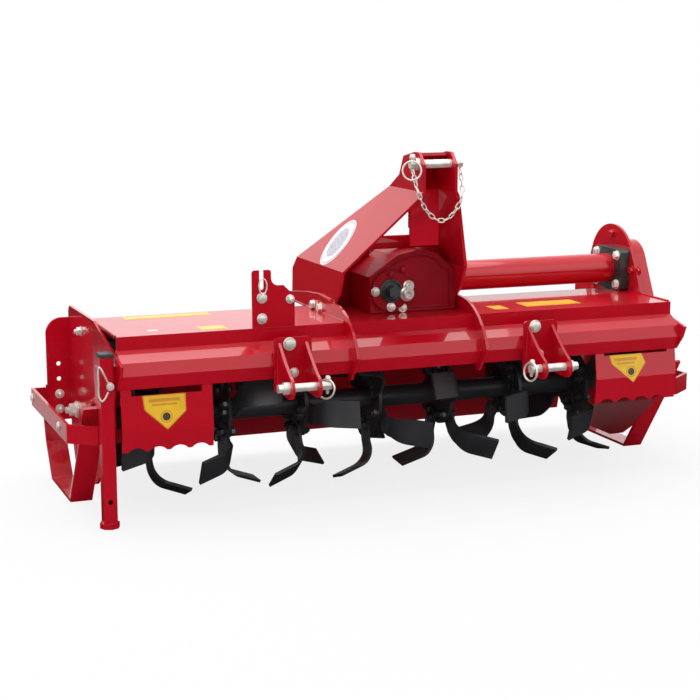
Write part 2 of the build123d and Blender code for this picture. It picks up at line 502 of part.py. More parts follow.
# ---------------------------------------------------------------- rotor
TUBE_R = 30
rotor_tube = disc_x(0, ROTOR_Z, TUBE_R, -INNER_X + 20, INNER_X - 20)
rotor_tube -= disc_x(0, ROTOR_Z, TUBE_R - 8, -INNER_X + 30, INNER_X - 30)
rotor_tube += disc_x(0, ROTOR_Z, STUB_R, -SIDE_X - HUB_OUT + 8, -INNER_X + 22)
rotor_tube += disc_x(0, ROTOR_Z, STUB_R, INNER_X - 22, SIDE_X + 26)
parts["rotor_tube"] = rotor_tube

SET_COUNT = 7
SET_LEFT_GAP = 117         # left side plate to the first set's disc
SET_RIGHT_GAP = 201        # last disc to the right side plate
SET_FIRST_X = -INNER_X + SET_LEFT_GAP
SET_PITCH = (2 * INNER_X - SET_LEFT_GAP - SET_RIGHT_GAP) / (SET_COUNT - 1)
SET_TURN = 53              # turn of the first set about the rotor, degrees
SET_TWIST = 22             # each set is turned on from its neighbour
DISC_R = 92
DISC_T = 10
BLADE_T = 8
BLADE_TIP_X = 110          # sideways reach of a blade from its disc's middle
BLADE_BEND_R = 56
BLADE_FLARE = 20           # the blade slopes outwards by this from the rotor's axis, degrees
BLADE_RELIEF = 16          # the blade's face is tipped back by this, so that its leading edge cuts
SHANK_HALF = 26
BLADE_LEAD = -6            # y of the blade's leading edge before the tip
BLADE_TRAIL = 66
TIP_FACE_Z = 217           # outer face of the blade at its tip
BLADE_OUTLINE = [          # y, z of a tine seen along the rotor, up the leading edge and down the trailing one
    (-SHANK_HALF, TUBE_R + 22), (-SHANK_HALF, 122), (BLADE_LEAD, 168), (BLADE_LEAD, 270), (BLADE_TRAIL, 270),
    (BLADE_TRAIL, 176), (SHANK_HALF, 118), (SHANK_HALF, TUBE_R + 22)]


def blade(side):
    """One tine: a flat strap that stands up from its disc along +Z, bends sideways and flares out to its tip."""
    shank_x = DISC_T / 2 + BLADE_T
    tip_z = TIP_FACE_Z - BLADE_T
    bend_z = tip_z - (BLADE_TIP_X - shank_x) * math.tan(math.radians(BLADE_FLARE))
    strap = prism_y(strip([(shank_x, 20), (shank_x, bend_z), (BLADE_TIP_X, tip_z)], BLADE_T, BLADE_BEND_R),
                    -TINE_REACH, TINE_REACH)
    shape = Rot(-BLADE_RELIEF, 0, 0) * strap
    shape &= prism_x(make_face(FilletPolyline(*BLADE_OUTLINE, radius=18, close=True)), 0, 2 * BLADE_TIP_X)
    shape &= prism_x(Circle(TINE_REACH), 0, 2 * BLADE_TIP_X)
    return shape if side > 0 else mirrored(shape)


right_blade = blade(1)
left_blade = blade(-1)
for number in range(SET_COUNT):
    tine_set = prism_x(Circle(DISC_R) - Circle(TUBE_R + PIN_CLEAR), -DISC_T / 2, DISC_T / 2)
    for turn in range(3):
        tine_set += Rot(turn * 120, 0, 0) * right_blade
        tine_set += Rot(turn * 120 + 60, 0, 0) * left_blade
    place = Location((SET_FIRST_X + number * SET_PITCH, 0, ROTOR_Z), (SET_TURN + number * SET_TWIST, 0, 0))
    parts[f"tine_set_{number + 1}"] = tine_set.moved(place)

# ---------------------------------------------------------------- write the pieces
whole = Compound(children=[Compound(shape.solids()) for shape in parts.values()]).bounding_box()
to_origin = Location((-(whole.min.X + whole.max.X) / 2, -(whole.min.Y + whole.max.Y) / 2, -whole.min.Z))
os.makedirs("parts", exist_ok=True)
for name, shape in parts.items():
    solids = [solid.moved(to_origin) for solid in shape.solids()]
    export_step(solids[0] if len(solids) == 1 else Compound(solids), f"parts/{name}.step")
print("size", whole.size, "moved by", to_origin.position)
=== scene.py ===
import bmesh
import bpy
import json
import math
from mathutils import Matrix, Vector


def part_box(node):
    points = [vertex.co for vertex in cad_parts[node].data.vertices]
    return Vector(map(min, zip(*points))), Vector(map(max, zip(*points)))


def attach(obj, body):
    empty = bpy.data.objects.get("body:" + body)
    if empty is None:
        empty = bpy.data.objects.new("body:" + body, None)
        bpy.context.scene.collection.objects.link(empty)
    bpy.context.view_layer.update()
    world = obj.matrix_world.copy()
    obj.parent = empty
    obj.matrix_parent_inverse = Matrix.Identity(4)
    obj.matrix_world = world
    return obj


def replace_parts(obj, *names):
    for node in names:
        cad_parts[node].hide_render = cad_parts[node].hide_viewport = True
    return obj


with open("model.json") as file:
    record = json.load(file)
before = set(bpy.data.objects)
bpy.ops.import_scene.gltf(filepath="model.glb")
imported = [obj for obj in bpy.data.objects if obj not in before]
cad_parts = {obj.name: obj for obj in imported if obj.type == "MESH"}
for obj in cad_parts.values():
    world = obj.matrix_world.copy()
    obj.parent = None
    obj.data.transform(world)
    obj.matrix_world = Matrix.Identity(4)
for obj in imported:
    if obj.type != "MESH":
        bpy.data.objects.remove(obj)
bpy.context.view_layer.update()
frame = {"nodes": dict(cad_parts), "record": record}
NODES = frame["nodes"]
MM = 0.001
COAT_ROUGHNESS = 0.04
SHARP_EDGE = math.radians(38)                     # a crease steeper than this stays hard
TUBE_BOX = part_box("rotor_tube")
AXIS_Y = (TUBE_BOX[0].y + TUBE_BOX[1].y) / 2      # the rotor's axis, in metres from the row's origin
AXIS_Z = (TUBE_BOX[0].z + TUBE_BOX[1].z) / 2 / MM     # and its height in mm


# ---------------------------------------------------------------- finishes
def shader(name, colour, roughness, metallic=0.0, coat=0.0, specular=0.5):
    """A material with one Principled shader; the node-based detail is added by the caller."""
    material = bpy.data.materials.new(name)
    material.use_nodes = True
    tree = material.node_tree
    body = tree.nodes["Principled BSDF"]
    body.inputs["Base Color"].default_value = (*colour, 1)
    body.inputs["Roughness"].default_value = roughness
    body.inputs["Metallic"].default_value = metallic
    body.inputs["Coat Weight"].default_value = coat
    body.inputs["Coat Roughness"].default_value = COAT_ROUGHNESS
    body.inputs["Specular IOR Level"].default_value = specular
    return material, tree, body


def object_noise(tree, scale, detail=3.0, roughness=0.5):
    """A noise texture over Object coordinates."""
    where = tree.nodes.new("ShaderNodeTexCoord")
    noise = tree.nodes.new("ShaderNodeTexNoise")
    noise.inputs["Scale"].default_value = scale
    noise.inputs["Detail"].default_value = detail
    noise.inputs["Roughness"].default_value = roughness
    tree.links.new(where.outputs["Object"], noise.inputs["Vector"])
    return noise


def two_tone(tree, body, noise, low, high):
    """Colour that drifts between two tones with the noise."""
    ramp = tree.nodes.new("ShaderNodeValToRGB")
    ramp.color_ramp.elements[0].position = 0.3
    ramp.color_ramp.elements[1].position = 0.7
    ramp.color_ramp.elements[0].color = (*low, 1)
    ramp.color_ramp.elements[1].color = (*high, 1)
    tree.links.new(noise.outputs["Fac"], ramp.inputs["Fac"])
    tree.links.new(ramp.outputs["Color"], body.inputs["Base Color"])


def spread(tree, noise, low, high, socket):
    """A value that drifts between low and high with the noise."""
    span = tree.nodes.new("ShaderNodeMapRange")
    span.inputs["To Min"].default_value = low
    span.inputs["To Max"].default_value = high
    tree.links.new(noise.outputs["Fac"], span.inputs["Value"])
    tree.links.new(span.outputs["Result"], socket)


def bump(tree, body, noise, strength, distance, edge=0.0):
    """Fine relief from the noise, with edges softened over the given radius."""
    relief = tree.nodes.new("ShaderNodeBump")
    relief.inputs["Strength"].default_value = strength
    relief.inputs["Distance"].default_value = distance
    tree.links.new(noise.outputs["Fac"], relief.inputs["Height"])
    if edge:
        soft = tree.nodes.new("ShaderNodeBevel")
        soft.samples = 4
        soft.inputs["Radius"].default_value = edge
        tree.links.new(soft.outputs["Normal"], relief.inputs["Normal"])
    tree.links.new(relief.outputs["Normal"], body.inputs["Normal"])


def red_enamel():
    """Glossy sprayed enamel with a faint orange peel."""
    material, tree, body = shader("red_enamel", (0.52, 0.0015, 0.012), 0.3, coat=0.8, specular=0.12)
    two_tone(tree, body, object_noise(tree, 3.0), (0.50, 0.0008, 0.011), (0.56, 0.002, 0.016))
    spread(tree, object_noise(tree, 14.0), 0.26, 0.36, body.inputs["Roughness"])
    bump(tree, body, object_noise(tree, 140.0, 2.0), 0.03, 0.0004, edge=0.0015)
    return material


def cast_red_and_painted_shade():
    """The same enamel, thinner and duller over a sand casting, and darker as painted shade: the gearbox it
    covers lies in the mast's shade.
    """
    material, tree, body = shader("cast_red_and_painted_shade", (0.34, 0.001, 0.010), 0.42, coat=0.12, specular=0.15)
    two_tone(tree, body, object_noise(tree, 8.0), (0.27, 0.0008, 0.008), (0.36, 0.0015, 0.012))
    spread(tree, object_noise(tree, 40.0), 0.36, 0.52, body.inputs["Roughness"])
    bump(tree, body, object_noise(tree, 320.0, 3.0), 0.22, 0.0006, edge=0.002)
    return material


def tine_black():
    """Semi-gloss black paint over forged steel."""
    material, tree, body = shader("tine_black", (0.02, 0.02, 0.022), 0.42, specular=0.35)
    two_tone(tree, body, object_noise(tree, 9.0), (0.021, 0.0215, 0.0245), (0.036, 0.037, 0.042))
    spread(tree, object_noise(tree, 30.0), 0.34, 0.5, body.inputs["Roughness"])
    bump(tree, body, object_noise(tree, 260.0, 3.0), 0.14, 0.0005, edge=0.001)
    return material


def zinc_plate():
    """Bright zinc with a warm, uneven tone."""
    material, tree, body = shader("zinc_plate", (0.8, 0.78, 0.72), 0.34, metallic=0.5)
    two_tone(tree, body, object_noise(tree, 60.0), (0.66, 0.63, 0.56), (0.92, 0.90, 0.85))
    spread(tree, object_noise(tree, 150.0), 0.26, 0.42, body.inputs["Roughness"])
    bump(tree, body, object_noise(tree, 500.0, 2.0), 0.06, 0.0003)
    return material


def oiled_steel():
    """Dark machined steel under a film of oil."""
    material, tree, body = shader("oiled_steel", (0.08, 0.09, 0.09), 0.35, metallic=0.7)
    two_tone(tree, body, object_noise(tree, 25.0), (0.045, 0.055, 0.055), (0.11, 0.125, 0.12))
    spread(tree, object_noise(tree, 70.0), 0.28, 0.45, body.inputs["Roughness"])
    bump(tree, body, object_noise(tree, 300.0, 2.0), 0.08, 0.0004, edge=0.001)
    return material


def black_cap():
    """Moulded black plastic."""
    material, tree, body = shader("black_plastic", (0.03, 0.03, 0.03), 0.5)
    two_tone(tree, body, object_noise(tree, 40.0), (0.02, 0.02, 0.021), (0.04, 0.04, 0.042))
    spread(tree, object_noise(tree, 90.0), 0.42, 0.58, body.inputs["Roughness"])
    bump(tree, body, object_noise(tree, 900.0, 2.0), 0.2, 0.0002)
    return material


def film(name, low, high):
    """Printed vinyl film, slightly uneven in tone."""
    material, tree, body = shader(name, low, 0.35, coat=0.25)
    two_tone(tree, body, object_noise(tree, 28.0), low, high)
    spread(tree, object_noise(tree, 60.0), 0.3, 0.42, body.inputs["Roughness"])
    bump(tree, body, object_noise(tree, 220.0, 2.0), 0.05, 0.0002)
    return material


MARBLING = ((0.36, (0.32, 0.44, 0.68)), (0.67, (0.34, 0.56, 0.52)), (0.44, (0.80, 0.82, 0.86)),
            (0.50, (0.20, 0.24, 0.27)), (0.55, (0.80, 0.76, 0.80)), (0.61, (0.58, 0.32, 0.44)))


def pastel_film():
    """White film with a soft, pale marbling of several tints; the ramp's own two stops are the ends."""
    material, tree, body = shader("pastel_film", (0.85, 0.86, 0.88), 0.35, coat=0.25)
    ramp = tree.nodes.new("ShaderNodeValToRGB")
    stops = ramp.color_ramp.elements
    ends = (stops[0], stops[1])
    for stop, (position, colour) in zip(ends, MARBLING):
        stop.position = position
        stop.color = (*colour, 1)
    for position, colour in MARBLING[2:]:
        stops.new(position).color = (*colour, 1)
    tree.links.new(object_noise(tree, 95.0, 3.0, 0.6).outputs["Fac"], ramp.inputs["Fac"])
    tree.links.new(ramp.outputs["Color"], body.inputs["Base Color"])
    spread(tree, object_noise(tree, 60.0), 0.3, 0.42, body.inputs["Roughness"])
    return material


FINISH = {
    "red_paint": red_enamel(),
    # cast_paint: a darker, duller enamel, partly painted shade for the parts in the mast's shade
    "cast_paint": cast_red_and_painted_shade(),
    "tine_paint": tine_black(),
    "zinc": zinc_plate(),
    "dark_steel": oiled_steel(),
    "cap": black_cap(),
    "yellow_film": film("yellow_film", (0.84, 0.47, 0.006), (0.93, 0.58, 0.02)),
    "orange_film": film("orange_film", (0.62, 0.25, 0.01), (0.72, 0.33, 0.02)),
    "dark_film": film("dark_film", (0.03, 0.02, 0.012), (0.07, 0.045, 0.02)),
    "white_film": film("white_film", (0.80, 0.82, 0.85), (0.92, 0.92, 0.93)),
    "pastel_film": pastel_film(),
    "grey_film": film("grey_film", (0.42, 0.45, 0.50), (0.62, 0.62, 0.66)),
}
# the gearbox takes the darker cast enamel as painted shade, where the mast shades it
SHADED_CAST_NODES = ("gearbox",)


def finish_nodes():
    """Each CAD node takes the finish of its slot in the record; the gearbox instead takes the darker cast
    enamel, whose darkness is partly painted shade.
    """
    slot_of = {row["node"]: row["material_slot"] for row in frame["record"]["subparts"]}
    for name, node in NODES.items():
        node.data.materials.clear()
        node.data.materials.append(FINISH["cast_paint" if name in SHADED_CAST_NODES else slot_of[name]])


finish_nodes()


# ---------------------------------------------------------------- making pieces
def at(x, y, z):
    """A point of the machine, mm right of the middle, behind the rotor's axis and above the ground."""
    return Vector((x * MM, y * MM + AXIS_Y, z * MM))


def stand(point, axis, turn=0.0):
    """Puts a shape drawn in mm at a point of the machine, its own Z along an axis."""
    leaning = Vector(axis).to_track_quat("Z", "Y").to_matrix().to_4x4()
    spun = Matrix.Rotation(math.radians(turn), 4, "Z")
    return Matrix.Translation(at(*point)) @ leaning @ spun @ Matrix.Scale(MM, 4)


def piece(name, bm, finish, body="frame"):
    """Turns a finished bmesh in row metres into a piece that rides on a body."""
    for edge in bm.edges:
        edge.smooth = len(edge.link_faces) == 2 and edge.calc_face_angle() < SHARP_EDGE
    for face in bm.faces:
        face.smooth = True
    mesh = bpy.data.meshes.new(name)
    bm.to_mesh(mesh)
    bm.free()
    made = bpy.data.objects.new(name, mesh)
    bpy.context.collection.objects.link(made)
    mesh.materials.append(FINISH[finish])
    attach(made, body)
    return made


def moved(bm, first, place):
    """Moves the vertices made since the first one."""
    bm.verts.ensure_lookup_table()
    bmesh.ops.transform(bm, matrix=place, verts=bm.verts[first:])


def lathe(bm, place, profile, steps=24):
    """Spins a profile of (radius, height) about Z; its ends on the axis close it.

    A mesh that is then moved takes one lathe only: the merging frees slots that later vertices would fill.
    """
    first = len(bm.verts)
    chain = [bm.verts.new((radius, 0, height)) for radius, height in profile]
    edges = [bm.edges.new(pair) for pair in zip(chain, chain[1:])]
    bmesh.ops.spin(bm, geom=chain + edges, cent=(0, 0, 0), axis=(0, 0, 1), dvec=(0, 0, 0),
                   angle=math.tau, steps=steps, use_merge=True, use_duplicate=False)
    bm.verts.ensure_lookup_table()
    fresh = bm.verts[first:]
    bmesh.ops.remove_doubles(bm, verts=fresh, dist=0.001)
    bm.verts.ensure_lookup_table()
    faces = {face for vert in bm.verts[first:] for face in vert.link_faces}
    bmesh.ops.recalc_face_normals(bm, faces=list(faces))
    moved(bm, first, place)


def hexagon(bm, across, low, high, rim):
    """A hexagonal prism in mm between two heights, its upper rim chamfered."""
    made = bmesh.ops.create_cone(bm, cap_ends=True, segments=6, radius1=across / math.sqrt(3),
                                 radius2=across / math.sqrt(3), depth=high - low,
                                 matrix=Matrix.Translation((0, 0, (low + high) / 2)))
    upper = [vert for vert in made["verts"] if vert.co.z > (low + high) / 2]
    edges = [edge for edge in {e for vert in upper for e in vert.link_edges}
             if all(vert in upper for vert in edge.verts)]
    bmesh.ops.bevel(bm, geom=edges, offset=rim, affect="EDGES", segments=2, profile=0.5, material=-1)


def box_of(bm, low, high, rim):
    """A block in mm between two corners with rounded edges."""
    size = [b - a for a, b in zip(low, high)]
    middle = [(a + b) / 2 for a, b in zip(low, high)]
    made = bmesh.ops.create_cube(bm, size=1,
                                 matrix=Matrix.Translation(middle) @ Matrix.Diagonal((*size, 1)))
    edges = list({edge for vert in made["verts"] for edge in vert.link_edges})
    bmesh.ops.bevel(bm, geom=edges, offset=rim, affect="EDGES", segments=2, profile=0.5, material=-1)


def smooth_line(points, steps=6):
    """A smooth open curve through the points."""
    points = [Vector(point) for point in points]
    last = len(points) - 1
    line = []
    for span in range(last):
        near = [points[min(max(span + step, 0), last)] for step in (-1, 0, 1, 2)]
        for step in range(steps):
            t = step / steps
            line.append(0.5 * (2 * near[1] + (near[2] - near[0]) * t
                               + (2 * near[0] - 5 * near[1] + 4 * near[2] - near[3]) * t ** 2
                               + (3 * near[1] - near[0] - 3 * near[2] + near[3]) * t ** 3))
    line.append(points[-1])
    return line


def circle(radius, steps, other=None):
    """Points in a plane round a circle, or round an oval with its other half-width."""
    other = radius if other is None else other
    return [(radius * math.cos(math.tau * k / steps), other * math.sin(math.tau * k / steps))
            for k in range(steps)]


def wire(bm, points, radii, sides=10, closed=False):
    """A round bar along the points, with the radius of each ring taken from radii in turn."""
    points = [Vector(point) for point in points]
    count = len(points)
    turn = None
    rings = []
    for number, point in enumerate(points):
        before = points[number - 1] if number or closed else point
        after = points[(number + 1) % count] if number < count - 1 or closed else point
        along = (after - before).normalized()
        turn = along.to_track_quat("Z", "Y") if turn is None else last.rotation_difference(along) @ turn
        last = along
        ring = bmesh.ops.create_circle(bm, segments=sides, radius=radii[number % len(radii)],
                                       matrix=Matrix.Translation(point) @ turn.to_matrix().to_4x4())["verts"]
        rings.append(list({edge for vert in ring for edge in vert.link_edges}))
    faces = []
    for near, far in zip(rings, rings[1:] + rings[:1] if closed else rings[1:]):
        faces += bmesh.ops.bridge_loops(bm, edges=near + far)["faces"]
    if not closed:
        faces += bmesh.ops.holes_fill(bm, edges=rings[0] + rings[-1], sides=sides)["faces"]
    bmesh.ops.recalc_face_normals(bm, faces=faces)


def template(draw, *sizes):
    """A mesh in mm to stamp many times."""
    bm = bmesh.new()
    draw(bm, *sizes)
    mesh = bpy.data.meshes.new("template")
    bm.to_mesh(mesh)
    bm.free()
    return mesh


def stamp(bm, mesh, place):
    """Adds a copy of a template at a place."""
    first = len(bm.verts)
    bm.from_mesh(mesh)
    moved(bm, first, place)


# ---------------------------------------------------------------- fasteners
def washer(bm, size):
    """A flat washer."""
    lathe(bm, Matrix(), [(0, 0), (size * 1.05, 0), (size * 1.1, 0.4), (size * 1.1, size * 0.14),
                         (size * 1.05, size * 0.18), (0, size * 0.18)], 20)


def hex_bolt(bm, size):
    """A washer under a hexagon head."""
    washer(bm, size)
    hexagon(bm, size * 1.55, size * 0.18, size * 0.8, size * 0.12)


def hex_nut(bm, size):
    """A washer, a nut and the bolt's threaded end."""
    washer(bm, size)
    hexagon(bm, size * 1.55, size * 0.18, size * 0.98, size * 0.12)
    thread = [(0, size * 0.9)]
    for turn in range(5):
        height = size * (0.92 + turn * 0.11)
        thread += [(size * 0.5, height), (size * 0.43, height + size * 0.055)]
    thread += [(size * 0.36, thread[-1][1] + size * 0.08), (0, thread[-1][1] + size * 0.08)]
    lathe(bm, Matrix(), thread, 14)


def dome_bolt(bm, size):
    """The mushroom head of a coach bolt."""
    lathe(bm, Matrix(), [(0, 0), (size * 1.02, 0), (size * 1.05, size * 0.12), (size * 0.9, size * 0.34),
                         (size * 0.6, size * 0.5), (size * 0.25, size * 0.57), (0, size * 0.58)], 20)


def collar_nut(bm, size):
    """A flanged nut with an open bore."""
    lathe(bm, Matrix(), [(0, 0), (size * 1.1, 0), (size * 1.1, size * 0.16), (size * 0.86, size * 0.32),
                         (size * 0.8, size * 0.8), (size * 0.68, size * 0.9), (size * 0.46, size * 0.9),
                         (size * 0.42, size * 0.3), (0, size * 0.25)], 20)


def drain_plug(bm, size):
    """A plug with a small square-shouldered head."""
    lathe(bm, Matrix(), [(0, 0), (size * 0.95, 0), (size * 0.95, size * 0.3), (size * 0.85, size * 0.38),
                         (0, size * 0.38)], 20)
    hexagon(bm, size * 0.95, size * 0.38, size * 0.8, size * 0.08)


def split_pin(bm, size):
    """The eye and the bent legs of a split pin laid across a shaft."""
    wire(bm, smooth_line([(0, 0, -size), (0, 0, 0), (0, 0, size * 0.9), (size * 0.35, 0, size * 1.3),
                          (0, 0, size * 1.7), (-size * 0.35, 0, size * 1.3)], steps=4), [size * 0.12], 8)


KINDS = {"hex": hex_bolt, "nut": hex_nut, "dome": dome_bolt, "collar": collar_nut, "plug": drain_plug,
         "washer": washer}
FACING = {"-X": (-1, 0, 0), "+X": (1, 0, 0), "-Y": (0, -1, 0), "+Y": (0, 1, 0), "+Z": (0, 0, 1)}
TURN_STEP = 23             # degrees from one fastener's flats to the next one's
TEMPLATES = {}


def fasteners(name, finish, body, rows):
    """One piece of all the fasteners in the rows: kind, size, facing, x, y, z."""
    bm = bmesh.new()
    for number, (kind, size, facing, x, y, z) in enumerate(rows):
        if (kind, size) not in TEMPLATES:
            TEMPLATES[kind, size] = template(KINDS[kind], size)
        stamp(bm, TEMPLATES[kind, size], stand((x, y, z), FACING[facing], number * TURN_STEP))
    return piece(name, bm, finish, body)


PLATE_X = 825              # outer face of a side plate
INNER_X = 817              # and its inner face
FLANGE_NUT_X = -858.5      # the holes in the left side plate's rear flange
GUSSET_X = 193             # outer face of a gusset
BRACKET_Y = -268           # front face of a hitch bracket's back plate
HOOK_Y = -207              # front face of the drive shaft's rest
CASE_FACE_Y = -105         # front of the gearbox
CASE_BACK_Y = 160          # and its back
CAP_Y = -113               # front of the input bearing's cap
CASE_X = 885               # outer face of the gear case
GUARD_X = 935              # outer face of a guard bar
FACE_OUT = 10              # from a side plate to the face under the hub's and the skids' bolts
HUB_BOLTS_R = 47

FASTENERS = {              # piece: finish, body, rows of kind, size, facing, x, y, z
    "hitch_bolts": ("zinc", "frame", [
        ("hex", 16, "-Y", -373, BRACKET_Y, 457), ("hex", 16, "-Y", 345, BRACKET_Y, 459),
        ("hex", 12, "-Y", -361, BRACKET_Y, 380), ("hex", 12, "-Y", 361, BRACKET_Y, 380)]),
    "rest_bolts": ("zinc", "frame", [
        ("hex", 13, "-Y", -427, HOOK_Y, 572), ("hex", 13, "-Y", -427, HOOK_Y, 517),
        ("nut", 11, "-Y", -349, HOOK_Y, 565), ("nut", 12, "+Y", -427, HOOK_Y + 6, 572),
        ("nut", 12, "+Y", -427, HOOK_Y + 6, 517)]),
    "mast_bolts": ("zinc", "frame", [
        ("hex", 14, side, x, y, 505)
        for side, x in (("-X", -GUSSET_X), ("+X", GUSSET_X)) for y in (38, -19)]),
    "bearing_cap_bolts": ("zinc", "frame", [
        ("hex", 12, "-Y", -68, CAP_Y, 556), ("hex", 12, "-Y", -21, CAP_Y, 511),
        ("collar", 19, "-Y", 25, CAP_Y - 3, 546), ("collar", 15, "-Y", 31, CAP_Y, 567)]),
    "bearing_cap_red_bolts": ("cast_paint", "frame", [
        ("hex", 10, "-Y", -22, CAP_Y, 602), ("hex", 10, "-Y", 16, CASE_FACE_Y, 612)]),
    "gearbox_plugs": ("zinc", "frame", [
        ("plug", 14, "-Y", 15, CASE_FACE_Y - 2, 506), ("plug", 12, "+Z", 60, 30, 658),
        ("plug", 15, "+Y", 60, CASE_BACK_Y, 520)]),
    "gearbox_cover_bolts": ("red_paint", "frame", [
        ("hex", 10, "+Y", x, CASE_BACK_Y, z) for x, z in (
            (20, 505), (20, 565), (20, 630), (70, 648), (118, 625), (150, 585), (150, 515))]),
    "tube_flange_bolts": ("zinc", "frame", [
        ("hex", 14, "-X", 785, y, z) for y in (41, 159) for z in (512, 600)]),
    "right_plate_bolts": ("red_paint", "frame", [
        ("hex", 12, "-X", INNER_X, y, z) for y, z in (
            (124, 657), (8, 557), (-34, 560), (-18, 472), (232, 435), (226, 487), (-209, 438), (60, 458))]),
    "left_plate_bolts": ("zinc", "frame", [
        ("nut", 12, "-Y", FLANGE_NUT_X, 342, 241), ("nut", 12, "-Y", FLANGE_NUT_X, 342, 197),
        ("washer", 22, "-X", -PLATE_X, 262, 209), ("nut", 20, "-X", -PLATE_X - 4, 262, 209),
        ("hex", 13, "-X", -PLATE_X, 16, 262), ("nut", 13, "-X", -PLATE_X, 179, 447)]),
    "right_flange_bolts": ("zinc", "frame", [
        ("nut", 12, "-Y", -FLANGE_NUT_X, 342, 241), ("nut", 12, "-Y", -FLANGE_NUT_X, 342, 197),
        ("washer", 22, "+X", PLATE_X, 262, 209), ("nut", 20, "+X", PLATE_X + 4, 262, 209)]),
    "guard_bolts": ("zinc", "frame", [
        ("dome", 12, side, x, y, 234)
        for side, x in (("-X", -GUARD_X), ("+X", GUARD_X)) for y in (-32, 346)]),
    "hub_bolts": ("red_paint", "frame", [
        ("hex", 10, "-X", -PLATE_X - FACE_OUT, HUB_BOLTS_R * math.cos(math.radians(turn)),
         AXIS_Z + HUB_BOLTS_R * math.sin(math.radians(turn))) for turn in range(30, 390, 60)]),
    "skid_bolts": ("zinc", "frame", [
        ("dome", 10, side, x, -128, 274)
        for side, x in (("-X", -PLATE_X - FACE_OUT), ("+X", PLATE_X + FACE_OUT))]),
    "hinge_washers": ("zinc", "frame", [
        ("washer", 13, side, x, 300, 392) for side, x in (("-X", -780), ("+X", 780))]),
}
for name, (finish, body, rows) in FASTENERS.items():
    fasteners(name, finish, body, rows)

# ---------------------------------------------------------------- rotor details
SET_COUNT = 7
SET_FIRST_X = -700
SET_SPAN = 2 * INNER_X - 117 - 201        # from the first set to the last
SET_PITCH = SET_SPAN / (SET_COUNT - 1)
SET_TURN = 53              # degrees that the first set is turned
SET_TWIST = 22             # and each next one from the one before
TINE_COUNT = 6
DISC_HALF = 5
SHANK_FACE = 13            # from a disc's middle to the outer face of a tine's shank
TINE_BOLT = 13
TINE_BOLTS = ((-11, 66), (11, 80))       # across and out along a tine from the rotor's axis


def about_rotor(x, degrees):
    """Puts a shape drawn in mm about the rotor's axis, turned with a tine set."""
    return (Matrix.Translation(at(x, 0, AXIS_Z)) @ Matrix.Rotation(math.radians(degrees), 4, "X")
            @ Matrix.Scale(MM, 4))


def facing_x(side, x, y, z):
    """A shape's own Z turned to one side along X, at a place on a tine set."""
    return Matrix.Translation((x, y, z)) @ Matrix.Rotation(side * math.pi / 2, 4, "Y")


def tine_bolts():
    """Two bolts through each tine's shank and its disc."""
    head = template(hex_bolt, TINE_BOLT)
    nut = template(hex_nut, TINE_BOLT)
    heads = bmesh.new()
    nuts = bmesh.new()
    for number in range(SET_COUNT):
        x = SET_FIRST_X + number * SET_PITCH
        for step in range(TINE_COUNT):
            side = 1 if step % 2 == 0 else -1
            set_place = about_rotor(x, SET_TURN + number * SET_TWIST + step * 360 / TINE_COUNT)
            for across, out in TINE_BOLTS:
                stamp(heads, head, set_place @ facing_x(side, side * SHANK_FACE, across, out))
                stamp(nuts, nut, set_place @ facing_x(-side, -side * DISC_HALF, across, out))
    piece("tine_bolt_heads", heads, "tine_paint", "rotor")
    piece("tine_bolt_nuts", nuts, "dark_steel", "rotor")


tine_bolts()


# ---------------------------------------------------------------- weld beads
BEAD_RADII = [2.6 * MM, 3.1 * MM, 3.3 * MM, 3.0 * MM]
BEAD_STEP = 2.2            # mm from one ripple ring to the next
ROTOR_BEAD_STEP = 4
HUB_WELD_R = 61
TUBE_WELD_R = 31
TUBE_WELD_OUT = 7          # from a disc's middle to the weld beside it


def bead(bm, points, closed=False, step=BEAD_STEP):
    """A rippled weld along straight runs between points of the machine."""
    points = [Vector(point) for point in points]
    line = []
    runs = zip(points, points[1:] + points[:1] if closed else points[1:])
    for start, end in runs:
        count = max(2, int((end - start).length / step))
        line += [start.lerp(end, share / count) for share in range(count)]
    if not closed:
        line.append(points[-1])
    wire(bm, [at(*point) for point in line], BEAD_RADII, 6, closed)


def axis_circle(x, radius, steps=36):
    """Points of the machine round the rotor's axis."""
    return [(x, y, AXIS_Z + z) for y, z in circle(radius, steps)]


GUSSET_TOP = [(243, 514), (100, 532), (0, 539), (-86, 536)]
WELDS = [                  # runs of x, y, z; each is made on both sides
    [(186.5, y, z) for y, z in GUSSET_TOP],
    [(194, -200, 494), (194, 100, 494)],
    [(194, 110, 493), (194, 236, 494)],
    [(816, -200, 494), (816, 100, 494)],
    [(816, 108, 493), (816, 280, 405)],
    [(40.5, -279, 748), (40.5, -279, 842)],
    [(404.5, -268.5, 338), (404.5, -268.5, 452)],
    [(321.5, -268.5, 338), (321.5, -268.5, 452)],
    [(825.5, -184.5, 212), (825.5, -184.5, 256)],
    [(845.5, 365, 212), (845.5, 365, 256)],
]


def welds():
    """The beads along the gussets, beam, brackets and skids, and round the hub and the rotor's discs."""
    bm = bmesh.new()
    for run in WELDS:
        for side in (-1, 1):
            bead(bm, [(side * x, y, z) for x, y, z in run])
    bead(bm, axis_circle(-PLATE_X - 1, HUB_WELD_R), closed=True)
    piece("frame_welds", bm, "red_paint")
    bm = bmesh.new()
    for number in range(SET_COUNT):
        for side in (-1, 1):
            x = SET_FIRST_X + number * SET_PITCH + side * TUBE_WELD_OUT
            bead(bm, axis_circle(x, TUBE_WELD_R, 24), closed=True, step=ROTOR_BEAD_STEP)
    piece("rotor_welds", bm, "tine_paint", "rotor")


welds()


